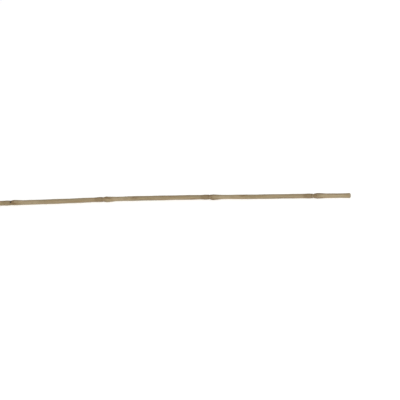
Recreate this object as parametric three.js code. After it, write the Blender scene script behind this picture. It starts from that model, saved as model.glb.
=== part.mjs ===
// A natural bamboo garden cane: one length of culm, trimmed of its branches and sawn off square
// at both ends, lying on its side. It runs along X from its thick butt end at -X to its thin tip
// end at +X. Z is up, and the origin is under the middle of the cane, where it rests.

import * as THREE from 'three';

// Driving dimensions, in millimetres. Distances along the cane are counted from the butt end.
const LENGTH = 900;
const BUTT_RADIUS = 4.75; // of the plain culm at the thick end
const BORE_SHARE = 0.36; // radius of the hollow inside, as a share of the outer radius
const WALL_SHARE = 0.6; // radius of the flat wall that closes the hollow, as a share of the hollow's
const RIM = 0.8; // the worn, rounded edge of each sawn end
const MOUTH_FLARE = 0.3; // how far the culm swells towards the sawn tip
const MOUTH_FLARE_LENGTH = 22;

// Each node is a sheath collar, a narrow groove at its distance from the butt, and a swelling on
// the tip side of the groove, fuller on one side. The fuller side is in degrees around the cane,
// from the top over the -Y side. Boldness is how strongly the node stands out beside the others,
// and the radius is that of the plain culm past the node.
const NODES = [
  { groove: 165, fullSide: -50, boldness: 0.75, radius: 4.7 },
  { groove: 373, fullSide: 120, boldness: 0.9, radius: 4.6 },
  { groove: 605, fullSide: 130, boldness: 0.92, radius: 4.38 },
  { groove: 823, fullSide: 30, boldness: 1.1, radius: 4.48 },
];
const COLLAR = { height: 0.45, start: -21, peak: -8, end: 1 };
const SWELLING = { height: 0.92, start: -1, peak: 10, end: 31 };
const FULL_SIDE_BULGE = 0.4;
const RADIUS_CHANGE_LENGTH = 30; // the culm takes its next radius within the node's own length

// The plain stretches aren't quite even: two slow waves run along them.
const WAVES = [
  { height: 0.12, length: 59, shift: 46 },
  { height: 0.07, length: 232, shift: 37 },
];

// The natural bend: how far the cane's middle line stands to the side and up, at every 100 mm
// from 100 mm before the butt to 100 mm past the tip, where the end points only steer the curve.
const BEND_STEP = 100;
const SIDEWAYS = [-3.4, -2.0, -0.7, 0.5, 2.3, 4.7, 4.4, 3.7, 2.4, 1.6, -0.1, -1.9];
const UPWARDS = [0.1, 0.2, 0.5, 0.4, 0.1, 0.2, 0.6, 0.7, 0.3, 0.1, 0.3, 0.5];

// How finely the solid is cut.
const SIDES = 22;
const LONGEST_RING_GAP = 20;
const NODE_RINGS = [-21, -15, -11, -8, -4.5, -1, 1.5, 4, 7, 10, 15, 20, 25, 31];

const bend = new THREE.SplineCurve(SIDEWAYS.map((side, i) => new THREE.Vector2(side, UPWARDS[i])));

// The middle line's place to the side (x) and up (y), at a distance from the butt.
function bendAt(distance) {
  return bend.getPoint((distance / BEND_STEP + 1) / (SIDEWAYS.length - 1));
}

// A smooth rise from start to peak and fall to end, as a share from 0 to 1.
function hump(distance, { start, peak, end }) {
  if (distance <= start || distance >= end) return 0;
  const share = distance < peak ? (distance - start) / (peak - start) : (end - distance) / (end - peak);
  return (1 - Math.cos(Math.PI * share)) / 2;
}

// The culm is nearly even from node to node and steps to its next radius at each of them.
function plainRadius(distance) {
  let radius = BUTT_RADIUS;
  for (const node of NODES) {
    const share = THREE.MathUtils.smoothstep(distance - node.groove, 0, RADIUS_CHANGE_LENGTH);
    radius += (node.radius - radius) * share;
  }
  return radius;
}

function outerRadius(distance) {
  let radius = plainRadius(distance);
  for (const { height, length, shift } of WAVES) {
    radius += height * Math.sin((2 * Math.PI * (distance + shift)) / length);
  }
  for (const { groove, boldness } of NODES) {
    radius += boldness * COLLAR.height * hump(distance - groove, COLLAR);
    radius += boldness * SWELLING.height * hump(distance - groove, SWELLING);
  }
  const toTip = Math.max(0, 1 - (LENGTH - distance) / MOUTH_FLARE_LENGTH);
  return radius + MOUTH_FLARE * toTip * toTip;
}

// How much further out the skin stands at a node on its full side, and further in opposite it.
function sideBulge(distance, angle) {
  let bulge = 0;
  for (const { groove, fullSide, boldness } of NODES) {
    const facing = Math.cos(angle - THREE.MathUtils.degToRad(fullSide));
    bulge += boldness * FULL_SIDE_BULGE * facing * hump(distance - groove, SWELLING);
  }
  return bulge;
}

// The distances along the cane that get a ring of corners: close together at the nodes, and
// evenly spread along the plain stretches between them.
function ringDistances() {
  const fixed = [RIM, LENGTH - RIM, LENGTH - MOUTH_FLARE_LENGTH, LENGTH - MOUTH_FLARE_LENGTH / 2];
  for (const { groove } of NODES) {
    for (const offset of NODE_RINGS) fixed.push(groove + offset);
  }
  fixed.sort((a, b) => a - b);
  const rings = [fixed[0]];
  for (const next of fixed.slice(1)) {
    const last = rings.at(-1);
    const steps = Math.ceil((next - last) / LONGEST_RING_GAP);
    for (let i = 1; i <= steps; i++) rings.push(last + ((next - last) * i) / steps);
  }
  return rings;
}

// The hollow behind one sawn end, from the middle of the nearest node's closing wall out to the
// sawn face and over its rounded edge.
function hollowEnd(face, groove) {
  const radius = BORE_SHARE * plainRadius(face);
  const edgeCentre = outerRadius(face) - RIM;
  const inwards = Math.sign(groove - face);
  return [
    new THREE.Vector2(0, groove),
    new THREE.Vector2(radius * WALL_SHARE, groove),
    new THREE.Vector2(radius, groove - inwards * radius),
    new THREE.Vector2(radius, face),
    new THREE.Vector2(edgeCentre, face),
    new THREE.Vector2(edgeCentre + RIM * Math.SQRT1_2, face + inwards * RIM * (1 - Math.SQRT1_2)),
  ];
}

// The whole outline on one side of the middle line, from one hollow's inner end to the other's.
function outline() {
  const skin = ringDistances().map((distance) => new THREE.Vector2(outerRadius(distance), distance));
  const buttEnd = hollowEnd(0, NODES[0].groove);
  const tipEnd = hollowEnd(LENGTH, NODES.at(-1).groove);
  return [...buttEnd, ...skin, ...tipEnd.reverse()];
}

// Turns the outline into a round rod along X, then swells its nodes to one side and bends it.
function caneGeometry() {
  const geometry = new THREE.LatheGeometry(outline(), SIDES);
  geometry.rotateZ(-Math.PI / 2);
  const corners = geometry.attributes.position;
  for (let i = 0; i < corners.count; i++) {
    const distance = corners.getX(i);
    const radius = Math.hypot(corners.getY(i), corners.getZ(i));
    const angle = Math.atan2(-corners.getY(i), corners.getZ(i));
    const swollen = radius * (1 + sideBulge(distance, angle) / outerRadius(distance));
    const middle = bendAt(distance);
    corners.setY(i, middle.x - swollen * Math.sin(angle));
    corners.setZ(i, middle.y + plainRadius(distance) + swollen * Math.cos(angle));
  }
  geometry.computeBoundingBox();
  const { min, max } = geometry.boundingBox;
  geometry.translate(-(min.x + max.x) / 2, -(min.y + max.y) / 2, -min.z);
  geometry.computeVertexNormals();
  return geometry;
}

const driedCulm = new THREE.MeshStandardMaterial({ color: 0xa8946f, roughness: 0.6, metalness: 0 });

const cane = new THREE.Mesh(caneGeometry(), driedCulm);
cane.name = 'bamboo_cane';

const model = new THREE.Group();
model.add(cane);

export default model;
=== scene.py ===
import math
import bmesh
import bpy
from mathutils import Matrix, Quaternion, Vector, noise


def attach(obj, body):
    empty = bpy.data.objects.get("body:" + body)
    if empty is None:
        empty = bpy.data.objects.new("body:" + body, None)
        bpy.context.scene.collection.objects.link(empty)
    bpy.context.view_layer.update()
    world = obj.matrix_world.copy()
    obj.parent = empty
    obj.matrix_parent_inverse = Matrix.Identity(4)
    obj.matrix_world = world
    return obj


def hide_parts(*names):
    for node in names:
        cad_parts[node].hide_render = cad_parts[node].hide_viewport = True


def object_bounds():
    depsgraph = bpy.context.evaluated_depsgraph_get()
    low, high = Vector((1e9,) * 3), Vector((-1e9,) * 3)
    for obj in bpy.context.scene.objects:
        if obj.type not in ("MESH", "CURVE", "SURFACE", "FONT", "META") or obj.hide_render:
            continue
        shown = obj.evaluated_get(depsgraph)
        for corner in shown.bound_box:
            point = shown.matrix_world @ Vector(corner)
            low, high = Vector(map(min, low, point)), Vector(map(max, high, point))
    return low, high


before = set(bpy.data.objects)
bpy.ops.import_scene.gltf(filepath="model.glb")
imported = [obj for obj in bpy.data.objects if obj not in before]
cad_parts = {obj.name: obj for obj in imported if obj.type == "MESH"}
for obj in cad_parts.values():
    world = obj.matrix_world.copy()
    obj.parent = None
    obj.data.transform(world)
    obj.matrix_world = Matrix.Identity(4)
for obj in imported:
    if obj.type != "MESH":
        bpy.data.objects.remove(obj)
cad_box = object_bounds()

# ------------------------------------------------------------------------------------------------
# The cane: one length of a thin bamboo culm, dried, trimmed of its branches and sawn off at both
# ends. It grew as one hollow piece, closed off by a wall at each node, and it lies on its side,
# touching the floor only at a few of its nodes.

MM = 0.001
length = (cad_box[1][0] - cad_box[0][0]) / MM
BUTT_RADIUS = 4.75
BORE_SHARE = 0.36  # radius of the hollow inside, as a share of the outer radius
RIM = 0.8  # the worn, rounded edge of each sawn end
MOUTH_FLARE = 0.3
MOUTH_FLARE_LENGTH = 22
WAVES = ((0.12, 59, 46), (0.07, 232, 37))  # height, length and shift of the culm's slow waves

# Each node: its groove's distance from the butt, the side that its swelling is fullest on, how
# bold it is, the radius of the culm past it, the side that its branches grew from, how deep the
# sheath's stain is, and how far the pocket under the branches gapes and how dark its painted shade
# is. Sides are in degrees around the cane, from the top over the -Y side.
NODES = (
    dict(groove=165, full=-50, bold=0.75, radius=4.7, bud=14, stain=0.5, gape_and_shade=1.0),
    dict(groove=373, full=120, bold=0.9, radius=4.6, bud=-35, stain=0.8, gape_and_shade=0.2),
    dict(groove=605, full=130, bold=0.92, radius=4.38, bud=145, stain=1.0, gape_and_shade=0.3),
    dict(groove=823, full=30, bold=1.1, radius=4.48, bud=42, stain=1.0, gape_and_shade=0.0),
)
COLLAR = dict(height=0.45, start=-21, peak=-8, end=1)
SWELLING = dict(height=0.92, start=-1, peak=10, end=31)
FULL_SIDE_BULGE = 0.4
RADIUS_CHANGE_LENGTH = 30

# The bend of the middle line, to the side and up, at every 100 mm from 100 mm before the butt.
BEND_STEP = 100
SIDEWAYS = (-3.4, -2.0, -0.7, 0.5, 2.3, 4.7, 4.4, 3.7, 2.4, 1.6, -0.1, -1.9)
UPWARDS = (0.1, 0.2, 0.5, 0.4, 0.1, 0.2, 0.6, 0.7, 0.3, 0.1, 0.3, 0.5)


def hump(at, start, peak, end, height=1.0):
    """A smooth rise from start to peak and fall to end."""
    if at <= start or at >= end:
        return 0.0
    share = (at - start) / (peak - start) if at < peak else (end - at) / (end - peak)
    return height * (1 - math.cos(math.pi * share)) / 2


def rise(at, start, end):
    """0 before start and 1 past end, with a smooth step between. It falls where end is first."""
    share = min(max((at - start) / (end - start), 0.0), 1.0)
    return share * share * (3 - 2 * share)


def bend_at(offsets, distance):
    """The middle line's offset at a distance from the butt, on a smooth curve through offsets."""
    place = distance / BEND_STEP + 1
    i = min(max(int(place), 1), len(offsets) - 3)
    t = place - i
    before, here, after, beyond = offsets[i - 1 : i + 3]
    leave, arrive = (after - before) / 2, (beyond - here) / 2
    return (
        here
        + leave * t
        + (3 * (after - here) - 2 * leave - arrive) * t**2
        + (2 * (here - after) + leave + arrive) * t**3
    )


def plain_radius(distance):
    """The culm's radius without its nodes: nearly even, with a step at each node."""
    radius = BUTT_RADIUS
    for node in NODES:
        radius += (node["radius"] - radius) * rise(distance - node["groove"], 0, RADIUS_CHANGE_LENGTH)
    return radius


def outer_radius(distance):
    radius = plain_radius(distance)
    for height, wave_length, shift in WAVES:
        radius += height * math.sin(math.tau * (distance + shift) / wave_length)
    for node in NODES:
        past = distance - node["groove"]
        radius += node["bold"] * (hump(past, **COLLAR) + hump(past, **SWELLING))
    to_tip = max(0, 1 - (length - distance) / MOUTH_FLARE_LENGTH)
    return radius + MOUTH_FLARE * to_tip**2


# The finer marks of growth at a node, in millimetres past its groove. The sheath that wrapped the
# shoot broke off at a thin ragged ledge, which dips below the branches, and stained the culm under
# it. Painted shade darkens the crease where the ledge drops into the notch, with brown round it; a
# brown belt lies past it, and a pale bloom of wax after that.
LEDGE = dict(start=-5, peak=-1.0, end=0, height=0.16)
LEDGE_DIP = 1.2
LEDGE_RAGGED = 0.35
NOTCH = dict(start=-0.6, peak=0.8, end=3.6, height=0.5)
CREASE_SHADE = dict(start=-1.3, peak=-0.1, end=1.1, height=0.5)
CREASE_SHADE_BROWN = 1.3  # the brown round the crease's painted shade, as a share of that shade
STAIN_STARTS = (-23, -11)
STAIN_ENDS = (3.5, -1)
BROWN_BELT = dict(start=-4, peak=5, end=18, height=0.55)
BLOOM_STARTS = (12, 28)
BLOOM_ENDS = (92, 45)
CREST = dict(start=6, peak=9, end=13, height=0.1)
MARKS_REACH = (-40, 95)

# While a branch stood, it pressed a shallow channel into the culm, between two low brown lips.
CHANNEL = dict(start=5, peak=18, end=80, height=0.3)
CHANNEL_HALF_WIDTH = 44  # degrees
CHANNEL_WANDER = 9  # degrees
LIPS = dict(start=2, peak=9, end=30)
LIPS_ACROSS = dict(start=20, peak=48, end=84)  # degrees from the bud's side
LIP_HEIGHT = 0.12
LIP_BROWN = 0.95

# Each branch was trimmed to a stub of bare wood, with a hole where its pith was and brown bark
# round it: its degrees from the bud's side, distance past the groove, half length and half width.
# The marks on a stub go by an oval that is 0 at its middle and 1 at its edge.
STUBS = ((0, 6.4, 3.2, 1.55), (-44, 5.4, 2.3, 0.95), (39, 4.3, 1.6, 0.75))
STUB_HEIGHT = 0.4
STUB_SLANT = 0.35
STUB_UNEVEN = 0.35
STUB_REACH = 1.8
STUB_SIDE = (1.3, 0.85)
BARE_EDGE = (1.3, 0.7)
BARK = dict(start=0.8, peak=1.1, end=1.6, height=0.8)
BARK_SEAM = dict(start=0.85, peak=1.1, end=1.4, height=0.3)
PITH_HOLE = 0.25
PITH_HOLE_SHIFT = 0.25  # of the stub's half length, back towards the groove
PITH_HOLE_EDGE = (0.4, 0.1)
# The pith hole is darkened with painted shade.
PITH_HOLE_SHADE = 0.5

# The pocket under the branches: distance past the groove, half length, half width and depth.
POCKET = (2.3, 1.6, 2.7, 1.3)
POCKET_SIDE = (1.2, 0.5)
# How the pocket's painted shade fades out at its edge.
POCKET_SHADE_EDGE = (1.4, 0.6)

# Brown marks of wear and weather: the distance and side of each, its half length, its half width
# and how strong it is.
WEATHER_MARKS = (
    (408, 0, 4, 1.6, 0.6),
    (446, 38, 9, 3.0, 0.55),
    (506, -4, 4, 1.4, 0.5),
    (522, 2, 4, 1.4, 0.5),
    (560, -2, 7, 1.4, 0.45),
    (571, 92, 8, 1.4, 0.5),
    (609, 2, 6, 1.7, 0.95),
    (678, 8, 9, 2.2, 0.55),
    (720, -4, 4, 1.4, 0.5),
    (768, 96, 30, 1.3, 0.5),
    (868, 2, 26, 1.2, 0.45),
)
WEATHER_MARK_EDGE = (1.4, 0.4)
WEATHER_MARK_REACH = 1.5
OVALNESS = 0.012
OVALNESS_TURN = 140  # millimetres along the culm in which the oval turns by half a radian
FIBRE_RELIEF = 0.028
KNOCK_RELIEF = 0.07
KNOCK_SHIFT = 700  # keeps the knocks from following the fibres' relief


def turn_between(angle, side):
    """The angle from a side given in degrees, within half a turn each way."""
    return (angle - math.radians(side) + math.pi) % math.tau - math.pi


def patches(along, around, long, wide):
    """Noise from about -1 to 1, in patches of a length and width in millimetres."""
    return noise.noise(Vector((along / long, around.x / wide, around.y / wide)))


def node_marks(node, past, angle, around):
    """What one node adds at a place past its groove: the skin's height in millimetres, how much of
    the sheath's stain, the bark seams' dark and painted shade, the brown and the wax's pale bloom it
    has, and how far it is a stub's bare wood."""
    bold = node["bold"]
    off_bud = turn_between(angle, node["bud"])
    toward_bud = max(0.0, math.cos(off_bud))
    cloud = patches(past, around, long=9, wide=2.5)
    ragged = patches(node["groove"], around, long=1, wide=1.1)
    at_ledge = past + LEDGE_DIP * toward_bud**2 + LEDGE_RAGGED * ragged
    fullness = FULL_SIDE_BULGE / SWELLING["height"] * math.cos(turn_between(angle, node["full"]))
    height = bold * (
        fullness * hump(past, **SWELLING)
        + hump(at_ledge, **LEDGE)
        - hump(at_ledge, **NOTCH)
        + hump(past + ragged, **CREST)
    )
    off_degrees = abs(math.degrees(off_bud)) + CHANNEL_WANDER * cloud
    in_channel = (1 - min(off_degrees / CHANNEL_HALF_WIDTH, 1.0) ** 2) ** 2
    on_lip = hump(off_degrees, **LIPS_ACROSS) * hump(past + 4 * cloud, **LIPS)
    height += LIP_HEIGHT * on_lip - hump(past, **CHANNEL) * in_channel

    stained = rise(at_ledge, *STAIN_STARTS) * rise(at_ledge, *STAIN_ENDS)
    stain = node["stain"] * stained * (0.85 + 0.5 * cloud)
    # Painted shade in the crease where the ledge drops into the notch.
    seams_and_shade = hump(at_ledge, **CREASE_SHADE) * (0.75 + 0.3 * ragged)
    belt = hump(past, **BROWN_BELT) * (0.8 + 0.6 * cloud)
    brown = max(belt, LIP_BROWN * on_lip, CREASE_SHADE_BROWN * seams_and_shade)
    waxy = rise(past, *BLOOM_STARTS) * rise(past, *BLOOM_ENDS)
    bloom = waxy * (0.65 + 0.5 * cloud + 0.35 * in_channel)
    bare = 0.0
    reach = outer_radius(node["groove"])
    for side, along, half_length, half_width in STUBS:
        across = reach * turn_between(angle, node["bud"] + side)
        lengthwise = (past - along) / half_length
        uneven = STUB_UNEVEN * patches(past + 1.6 * side, around, long=1.6, wide=1.3)
        oval = math.hypot(lengthwise, across / half_width) + uneven
        if oval < STUB_REACH:
            in_hole = rise(
                math.hypot(lengthwise + PITH_HOLE_SHIFT, across / half_width), *PITH_HOLE_EDGE
            )
            height += bold * STUB_HEIGHT * (1 + STUB_SLANT * lengthwise) * rise(oval, *STUB_SIDE)
            height -= bold * PITH_HOLE * in_hole
            bare = max(bare, rise(oval, *BARE_EDGE))
            brown = max(brown, hump(oval, **BARK))
            # The seam round the stub's bark, and painted shade in the pith hole.
            seams_and_shade = max(seams_and_shade, hump(oval, **BARK_SEAM), PITH_HOLE_SHADE * in_hole)
    middle, half_length, half_width, depth = POCKET
    across = reach * off_bud
    oval = math.hypot((past - middle) / half_length, across / half_width) + STUB_UNEVEN * ragged
    height -= node["gape_and_shade"] * depth * rise(oval, *POCKET_SIDE)
    # Painted shade in the pocket under the branches.
    seams_and_shade = max(seams_and_shade, node["gape_and_shade"] * rise(oval, *POCKET_SHADE_EDGE))
    return height, (stain, seams_and_shade, brown, bloom, bare)


def skin_at(distance, angle):
    """The skin's radius at a place on the culm, and its marks."""
    plain = outer_radius(distance)
    around = Vector((math.sin(angle), math.cos(angle))) * plain
    radius = plain * (1 + OVALNESS * math.cos(2 * angle + distance / OVALNESS_TURN))
    radius += FIBRE_RELIEF * patches(distance, around, long=30, wide=0.7)
    radius += KNOCK_RELIEF * patches(distance + KNOCK_SHIFT, around, long=14, wide=5)
    marks = (0.0,) * 5
    for node in NODES:
        past = distance - node["groove"]
        if MARKS_REACH[0] < past < MARKS_REACH[1]:
            height, found = node_marks(node, past, angle, around)
            radius += height
            marks = tuple(max(a, b) for a, b in zip(marks, found))
    stain, seams_and_shade, brown, bloom, bare = marks
    for place, side, half_length, half_width, strength in WEATHER_MARKS:
        along = (distance - place) / half_length
        if abs(along) < WEATHER_MARK_REACH:
            across = plain * turn_between(angle, side) / half_width
            oval = math.hypot(along, across) + 0.5 * patches(distance, around, long=3, wide=1)
            brown = max(brown, strength * rise(oval, *WEATHER_MARK_EDGE))
    return radius, (stain, seams_and_shade, brown, bloom, bare)


# The outline is cut finest at the ledges and stubs, and every 4 mm along the plain stretches.
SIDES = 140
PLAIN_STEP = 4.0
NODE_STEPS = ((-24, 1.2), (-7, 0.5), (-3, 0.2), (3, 0.3), (11, 1.2), (36, PLAIN_STEP))
MOUTH_STEP = 1.0
HOLLOW_STEP = 5.0
FACE_RINGS = 8
RIM_RINGS = 4


def spaced(start, end, step):
    count = max(1, math.ceil(abs(end - start) / step))
    return [start + (end - start) * i / count for i in range(count)]


def sawn_end(face, inwards, groove):
    """The outline from the wall that closes the hollow, out of the hollow, over the sawn face and
    round its rim to where the skin begins."""
    bore = BORE_SHARE * plain_radius(face)
    outer = outer_radius(face)
    dome = [(groove - inwards * bore * t * t, bore * t) for t in (0, 0.25, 0.5, 0.75)]
    hollow = [(x, bore) for x in spaced(groove - inwards * bore, face, HOLLOW_STEP)]
    across = [(face, r) for r in spaced(bore, outer - RIM, (outer - RIM - bore) / FACE_RINGS)]
    turns = [i / RIM_RINGS * math.pi / 2 for i in range(RIM_RINGS)]
    rim = [
        (face + inwards * RIM * (1 - math.cos(turn)), outer - RIM + RIM * math.sin(turn))
        for turn in turns
    ]
    return dome + hollow + across + rim


stretches = [(RIM, PLAIN_STEP)]
for node in NODES:
    stretches += [(node["groove"] + start, step) for start, step in NODE_STEPS]
stretches += [(length - MOUTH_FLARE_LENGTH, MOUTH_STEP), (length - RIM, MOUTH_STEP)]
skin_rings = [length - RIM]
for (start, step), (end, _) in zip(stretches, stretches[1:]):
    skin_rings += spaced(start, end, step)
outline = sawn_end(0, 1, NODES[0]["groove"])
outline += [(x, outer_radius(x)) for x in sorted(skin_rings)]
outline += reversed(sawn_end(length, -1, NODES[-1]["groove"]))

# The outline is spun into a straight round rod around the X axis.
rod = bmesh.new()
corners = [rod.verts.new((x, 0, radius)) for x, radius in outline]
chain = corners + [rod.edges.new(pair) for pair in zip(corners, corners[1:])]
bmesh.ops.spin(
    rod, geom=chain, axis=(1, 0, 0), cent=(0, 0, 0), angle=math.tau, steps=SIDES, use_merge=True
)
bmesh.ops.remove_doubles(rod, verts=rod.verts, dist=1e-4)
bmesh.ops.recalc_face_normals(rod, faces=rod.faces)


def face_place(face):
    """A number that no two faces share, from the numbers of its corners."""
    numbers = [corner.index for corner in face.verts]
    return sum(numbers) * len(rod.verts) + min(numbers)


# The spin leaves the faces in a different order each time, so they are put in a fixed one.
rod.verts.index_update()
rod.faces.sort(key=face_place)

# Each face is skin, sawn wood or the hollow's lining, before the rod takes its grown shape.
SKIN, SAWN, LINING = range(3)
for face in rod.faces:
    middle = face.calc_center_median()
    from_axis = math.hypot(middle.y, middle.z)
    to_end = min(middle.x, length - middle.x)
    face.smooth = True
    if from_axis < 1.01 * BORE_SHARE * plain_radius(middle.x):
        face.material_index = LINING
    elif to_end < RIM / 4:
        face.material_index = SAWN

# The rod's straight place is kept as the way that its fibres run, and its marks as a colour.
fibre_place = rod.verts.layers.float_vector.new("fibre_place")
growth_marks = rod.verts.layers.float_color.new("growth_marks")
bare_wood = rod.verts.layers.float.new("bare_wood")
SAW_TILT = 0.035
SAW_ROUGHNESS = 0.06
LINING_ROUGHNESS = 0.25
for corner in rod.verts:
    distance = corner.co.x
    from_axis = math.hypot(corner.co.y, corner.co.z)
    angle = math.atan2(-corner.co.y, corner.co.z)
    corner[fibre_place] = corner.co
    plain = outer_radius(distance)
    radius, marks = skin_at(distance, angle)
    if from_axis > plain - 1.01 * RIM:
        radius += from_axis - plain
        corner[growth_marks] = marks[:4]
        corner[bare_wood] = marks[4]
    else:
        radius = from_axis * (1 + (radius / plain - 1) * from_axis / plain)
        crumb = noise.noise(Vector((distance, corner.co.y, corner.co.z)))
        if min(distance, length - distance) > RIM:
            radius *= 1 + LINING_ROUGHNESS * crumb
        else:
            distance += SAW_ROUGHNESS * crumb
    if min(corner.co.x, length - corner.co.x) <= RIM:
        distance += SAW_TILT * radius * math.sin(angle + corner.co.x)
    corner.co = (
        distance,
        bend_at(SIDEWAYS, distance) - radius * math.sin(angle),
        bend_at(UPWARDS, distance) + plain_radius(distance) + radius * math.cos(angle),
    )
bmesh.ops.scale(rod, vec=(MM, MM, MM), verts=rod.verts)

cane_mesh = bpy.data.meshes.new("cane")
rod.to_mesh(cane_mesh)
rod.free()
cane = bpy.data.objects.new("cane", cane_mesh)
bpy.context.scene.collection.objects.link(cane)

# It rests where the frame's cane does: its box has the same middle, and it touches the floor.
low = [min(v.co[i] for v in cane_mesh.vertices) for i in range(3)]
high = [max(v.co[i] for v in cane_mesh.vertices) for i in range(3)]
frame_middle = [(a + b) / 2 for a, b in zip(*cad_box)]
cane_mesh.transform(
    Matrix.Translation(
        (
            frame_middle[0] - (low[0] + high[0]) / 2,
            frame_middle[1] - (low[1] + high[1]) / 2,
            cad_box[0][2] - low[2],
        )
    )
)


def linear(colour):
    """An sRGB hex colour as linear light."""
    shares = [int(colour[i : i + 2], 16) / 255 for i in (1, 3, 5)]
    return [s / 12.92 if s <= 0.04045 else ((s + 0.055) / 1.055) ** 2.4 for s in shares] + [1.0]


def add_node(tree, kind, inputs=None, **settings):
    """Adds a node with its settings. Each input gets a value, or a link from the output given."""
    made = tree.nodes.new(kind)
    for name, setting in settings.items():
        setattr(made, name, setting)
    for socket, given in (inputs or {}).items():
        if isinstance(given, bpy.types.NodeSocket):
            tree.links.new(given, made.inputs[socket])
        else:
            made.inputs[socket].default_value = given
    return made


def new_material(name, patterns):
    """A material, its empty node tree, and its patterns as shares from 0 to 1. Each pattern is
    noise drawn out along the fibres: how many millimetres long and wide its patches are, how fine
    it is, and the stretch of the noise that it keeps."""
    material = bpy.data.materials.new(name)
    material.use_nodes = True
    tree = material.node_tree
    tree.nodes.clear()
    place = add_node(tree, "ShaderNodeAttribute", attribute_name="fibre_place")
    shares = {}
    for i, (pattern, (long, wide, detail, low, high)) in enumerate(patterns.items()):
        drawn_out = add_node(
            tree,
            "ShaderNodeMapping",
            {
                "Vector": place.outputs["Vector"],
                "Location": (5 * i, 3 * i, i),
                "Scale": (1 / long, 1 / wide, 1 / wide),
            },
        )
        cloud = add_node(
            tree,
            "ShaderNodeTexNoise",
            {"Vector": drawn_out.outputs["Vector"], "Scale": 1, "Detail": detail, "Roughness": 0.55},
        )
        kept = add_node(
            tree,
            "ShaderNodeMapRange",
            {"Value": cloud.outputs["Fac"], "From Min": low, "From Max": high},
        )
        shares[pattern] = kept.outputs["Result"]
    return material, tree, shares


def layered(tree, ground, layers):
    """A ground colour with other colours laid over it, each by a share and at a strength."""
    colour = linear(ground)
    for share, strength, over in layers:
        cover = add_node(tree, "ShaderNodeMath", {0: share, 1: strength}, operation="MULTIPLY")
        mixed = add_node(
            tree,
            "ShaderNodeMix",
            {0: cover.outputs[0], 6: colour, 7: linear(over)},  # factor, first and second colour
            data_type="RGBA",
        )
        colour = mixed.outputs[2]
    return colour


def frayed(tree, share, pattern, depth):
    """A soft share whose edges a pattern frays. The depth is how much of the share it reaches."""
    raised = add_node(
        tree, "ShaderNodeMath", {0: pattern, 1: depth, 2: share}, operation="MULTIPLY_ADD"
    )
    kept = add_node(
        tree, "ShaderNodeMapRange", {"Value": raised.outputs[0], "From Min": depth, "From Max": 1}
    )
    return kept.outputs["Result"]


# Dried culm skin: a hard, faintly waxy rind over straight fibres. It dries straw tan, weathers to
# grey olive in long streaks, and keeps dark stains where the sheaths sat and a pale bloom of wax
# past each node. Its veins are a third of a millimetre apart, with finer fibres between them.
skin, tree, shares = new_material(
    "dried_culm_skin",
    {
        "tone": (70, 6, 2, 0.35, 0.65),
        "weather": (90, 3, 2, 0.42, 0.7),
        "warm": (30, 2.6, 2, 0.5, 0.7),
        "pale": (34, 2.2, 2, 0.5, 0.7),
        "streak": (55, 1.3, 2, 0.38, 0.66),
        "vein": (16, 0.33, 2, 0.7, 0.3),
        "fibre": (7, 0.16, 2, 0.68, 0.32),
        "wisp": (11, 0.6, 3, 0.36, 0.64),
        "crumb": (0.5, 0.4, 3, 0.36, 0.64),
        "grime": (2.2, 0.7, 4, 0.62, 0.74),
    },
)
growth = add_node(tree, "ShaderNodeAttribute", attribute_name="growth_marks")
bare = add_node(tree, "ShaderNodeAttribute", attribute_name="bare_wood")
marks = add_node(tree, "ShaderNodeSeparateColor", {"Color": growth.outputs["Color"]})
stain = frayed(tree, marks.outputs["Red"], shares["wisp"], 0.35)
brown = frayed(tree, marks.outputs["Blue"], shares["wisp"], 0.65)
bloom = frayed(tree, growth.outputs["Alpha"], shares["streak"], 0.6)
cut_wood = frayed(tree, bare.outputs["Fac"], shares["crumb"], 0.5)
# Near-black painted shade in the crease, pith holes and pocket at each node, with the dark seams
# round the stubs' bark.
seam_and_shade_share = frayed(tree, marks.outputs["Green"], shares["crumb"], 0.4)
colour = layered(
    tree,
    "#AF9B78",
    (
        (shares["tone"], 1.0, "#A19170"),
        (shares["weather"], 0.33, "#7F7355"),
        (shares["warm"], 0.45, "#9F7E4C"),
        (shares["pale"], 0.4, "#B3A38C"),
        (shares["streak"], 0.35, "#84714F"),
        (shares["vein"], 0.36, "#6A583C"),
        (shares["fibre"], 0.2, "#5E4C32"),
        (bloom, 0.3, "#BBAA8C"),
        (stain, 0.48, "#6E5532"),
        (brown, 0.78, "#6B4E2B"),
        (shares["grime"], 0.4, "#4A3C2A"),
        (cut_wood, 0.6, "#8A7350"),
        (seam_and_shade_share, 0.95, "#1C120A"),
    ),
)
relief = add_node(
    tree, "ShaderNodeBump", {"Height": shares["vein"], "Strength": 0.6, "Distance": -0.06 * MM}
)
gloss = add_node(
    tree, "ShaderNodeMapRange", {"Value": shares["streak"], "To Min": 0.55, "To Max": 0.7}
)
# Rougher where the seams and the painted shade are.
dull_seams_and_shade = add_node(
    tree, "ShaderNodeMath", {0: gloss.outputs["Result"], 1: seam_and_shade_share}, operation="MAXIMUM"
)
rind = add_node(
    tree,
    "ShaderNodeBsdfPrincipled",
    {
        "Base Color": colour,
        "Roughness": dull_seams_and_shade.outputs[0],
        "IOR": 1.5,
        "Normal": relief.outputs["Normal"],
    },
)
add_node(tree, "ShaderNodeOutputMaterial", {"Surface": rind.outputs["BSDF"]})

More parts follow.
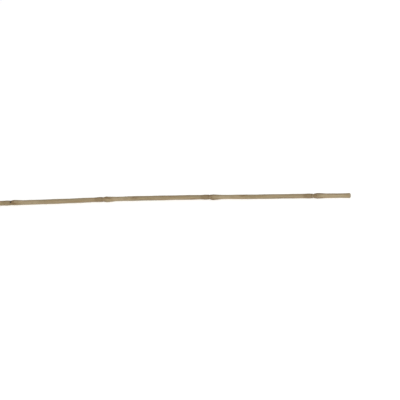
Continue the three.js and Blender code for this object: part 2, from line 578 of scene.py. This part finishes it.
# Sawn culm wood: end grain, cut across the fibres and left dull. The dark dots are the ends of
# the fibre bundles, half a millimetre apart, and the faint lines are the saw's.
BUNDLE_SPACING = 0.5
sawn, tree, shares = new_material("sawn_culm_wood", {"cloud": (3, 1.4, 3, 0.35, 0.65)})
place = add_node(tree, "ShaderNodeAttribute", attribute_name="fibre_place")
flat = add_node(
    tree, "ShaderNodeMapping", {"Vector": place.outputs["Vector"], "Scale": (0, 1, 1)}
)
bundles = add_node(
    tree,
    "ShaderNodeTexVoronoi",
    {"Vector": flat.outputs["Vector"], "Scale": 1 / BUNDLE_SPACING, "Randomness": 0.8},
)
dots = add_node(
    tree,
    "ShaderNodeMapRange",
    {"Value": bundles.outputs["Distance"], "From Min": 0.38, "From Max": 0.22},
)
kerf = add_node(
    tree,
    "ShaderNodeTexWave",
    {"Vector": flat.outputs["Vector"], "Scale": 0.9, "Distortion": 1.5, "Detail": 2},
    bands_direction="Y",
)
colour = layered(
    tree,
    "#BBAA8E",
    (
        (shares["cloud"], 1.0, "#A08F74"),
        (dots.outputs["Result"], 0.55, "#6A553E"),
        (kerf.outputs["Fac"], 0.12, "#74614A"),
    ),
)
relief = add_node(
    tree,
    "ShaderNodeBump",
    {"Height": dots.outputs["Result"], "Strength": 0.5, "Distance": 0.05 * MM},
)
end_grain = add_node(
    tree,
    "ShaderNodeBsdfPrincipled",
    {"Base Color": colour, "Roughness": 0.85, "IOR": 1.5, "Normal": relief.outputs["Normal"]},
)
add_node(tree, "ShaderNodeOutputMaterial", {"Surface": end_grain.outputs["BSDF"]})

# Pith: the papery, off-white lining that is left inside the hollow when the culm dries.
pith, tree, shares = new_material("papery_pith", {"flakes": (6, 1.1, 4, 0.3, 0.7)})
relief = add_node(
    tree, "ShaderNodeBump", {"Height": shares["flakes"], "Strength": 0.6, "Distance": 0.1 * MM}
)
lining = add_node(
    tree,
    "ShaderNodeBsdfPrincipled",
    {
        "Base Color": layered(tree, "#A08C6A", ((shares["flakes"], 1.0, "#C9BCA0"),)),
        "Roughness": 0.95,
        "Normal": relief.outputs["Normal"],
    },
)
add_node(tree, "ShaderNodeOutputMaterial", {"Surface": lining.outputs["BSDF"]})

for material in (skin, sawn, pith):
    cane_mesh.materials.append(material)
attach(cane, "root")
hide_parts("bamboo_cane")

# ------------------------------------------------------------------------------------------------
# The floor: a wide sheet of matt white acrylic on a light table, lit faintly from below, which
# the cane lies on.

FLOOR_HALF_WIDTH = 12.0
sheet = bmesh.new()
bmesh.ops.create_grid(sheet, x_segments=1, y_segments=1, size=FLOOR_HALF_WIDTH)
floor_mesh = bpy.data.meshes.new("floor")
sheet.to_mesh(floor_mesh)
sheet.free()
floor = bpy.data.objects.new("floor", floor_mesh)
bpy.context.scene.collection.objects.link(floor)

# Opal acrylic: bright and without gloss, with a mottle too faint to see as a pattern. It lets
# through a little of the light from below, which thins the shadows on it.
acrylic = bpy.data.materials.new("opal_acrylic")
acrylic.use_nodes = True
tree = acrylic.node_tree
tree.nodes.clear()
place = add_node(tree, "ShaderNodeTexCoord")
mottle = add_node(
    tree, "ShaderNodeTexNoise", {"Vector": place.outputs["Object"], "Scale": 3, "Detail": 2}
)
opal = add_node(
    tree,
    "ShaderNodeBsdfPrincipled",
    {
        "Base Color": layered(tree, "#F0F0EF", ((mottle.outputs["Fac"], 1.0, "#F3F3F2"),)),
        "Roughness": 1.0,
        "Specular IOR Level": 0.0,
        "Emission Color": (1, 1, 1, 1),
        "Emission Strength": 0.3,
    },
)
add_node(tree, "ShaderNodeOutputMaterial", {"Surface": opal.outputs["BSDF"]})
floor_mesh.materials.append(acrylic)

# ------------------------------------------------------------------------------------------------
# The light: a dim white tent all round, brighter overhead, and one large soft box beside and
# above the viewer.

world = bpy.data.worlds.new("white_tent")
bpy.context.scene.world = world
world.use_nodes = True
tree = world.node_tree
tree.nodes.clear()
TENT_HORIZON = 0.3
TENT_OVERHEAD = 0.4
direction = add_node(tree, "ShaderNodeTexCoord")
height = add_node(tree, "ShaderNodeSeparateXYZ", {"Vector": direction.outputs["Generated"]})
glow = add_node(
    tree,
    "ShaderNodeMapRange",
    {
        "Value": height.outputs["Z"],
        "From Min": 0.12,
        "From Max": 0.4,
        "To Min": TENT_HORIZON,
        "To Max": TENT_OVERHEAD,
    },
)
tent = add_node(
    tree, "ShaderNodeBackground", {"Color": (1, 1, 1, 1), "Strength": glow.outputs["Result"]}
)
add_node(tree, "ShaderNodeOutputWorld", {"Surface": tent.outputs["Background"]})


def direction_to(azimuth, elevation):
    """The way from the cane to a viewer or a lamp. Azimuth 0 is on the -Y side, and 90 on +X."""
    turn, lift = math.radians(azimuth), math.radians(elevation)
    return Vector(
        (math.sin(turn) * math.cos(lift), -math.cos(turn) * math.cos(lift), math.sin(lift))
    )


SOFT_BOX_DISTANCE = 6.0
SOFT_BOX_SIZE = 3.0
SOFT_BOX_POWER = 250
soft_box = bpy.data.lights.new("soft_box", "AREA")
soft_box.shape = "SQUARE"
soft_box.size = SOFT_BOX_SIZE
soft_box.energy = SOFT_BOX_POWER
soft_box_stand = bpy.data.objects.new("soft_box", soft_box)
to_soft_box = direction_to(24, 53)
soft_box_stand.location = SOFT_BOX_DISTANCE * to_soft_box
soft_box_stand.rotation_euler = to_soft_box.to_track_quat("Z", "Y").to_euler()
bpy.context.scene.collection.objects.link(soft_box_stand)
bpy.context.scene.view_settings.view_transform = "Standard"

# ------------------------------------------------------------------------------------------------
# The camera: a long lens, looking down on the tip half from the tip's side, and rolled so that
# the cane runs nearly level and leaves the frame on the left.

VIEW_AZIMUTH = 31.5
VIEW_ELEVATION = 45
VIEW_ROLL = -24.7
VIEW_DISTANCE = 4.432
AIM_ALONG = 0.6515  # share of the cane's length, from the butt
AIM_SIDE = -4.2 * MM
AIM_UP = 5 * MM
LENS = 200
SENSOR_WIDTH = 36
to_viewer = direction_to(VIEW_AZIMUTH, VIEW_ELEVATION)
aim = Vector((cad_box[0][0] + AIM_ALONG * length * MM, AIM_SIDE, AIM_UP))
lens = bpy.data.cameras.new("camera")
lens.lens = LENS
lens.sensor_width = SENSOR_WIDTH
lens.clip_end = 100
camera = bpy.data.objects.new("camera", lens)
camera.rotation_mode = "QUATERNION"
camera.rotation_quaternion = to_viewer.to_track_quat("Z", "Y") @ Quaternion(
    (0, 0, 1), math.radians(VIEW_ROLL)
)
camera.location = aim + VIEW_DISTANCE * to_viewer
bpy.context.scene.collection.objects.link(camera)
bpy.context.scene.camera = camera
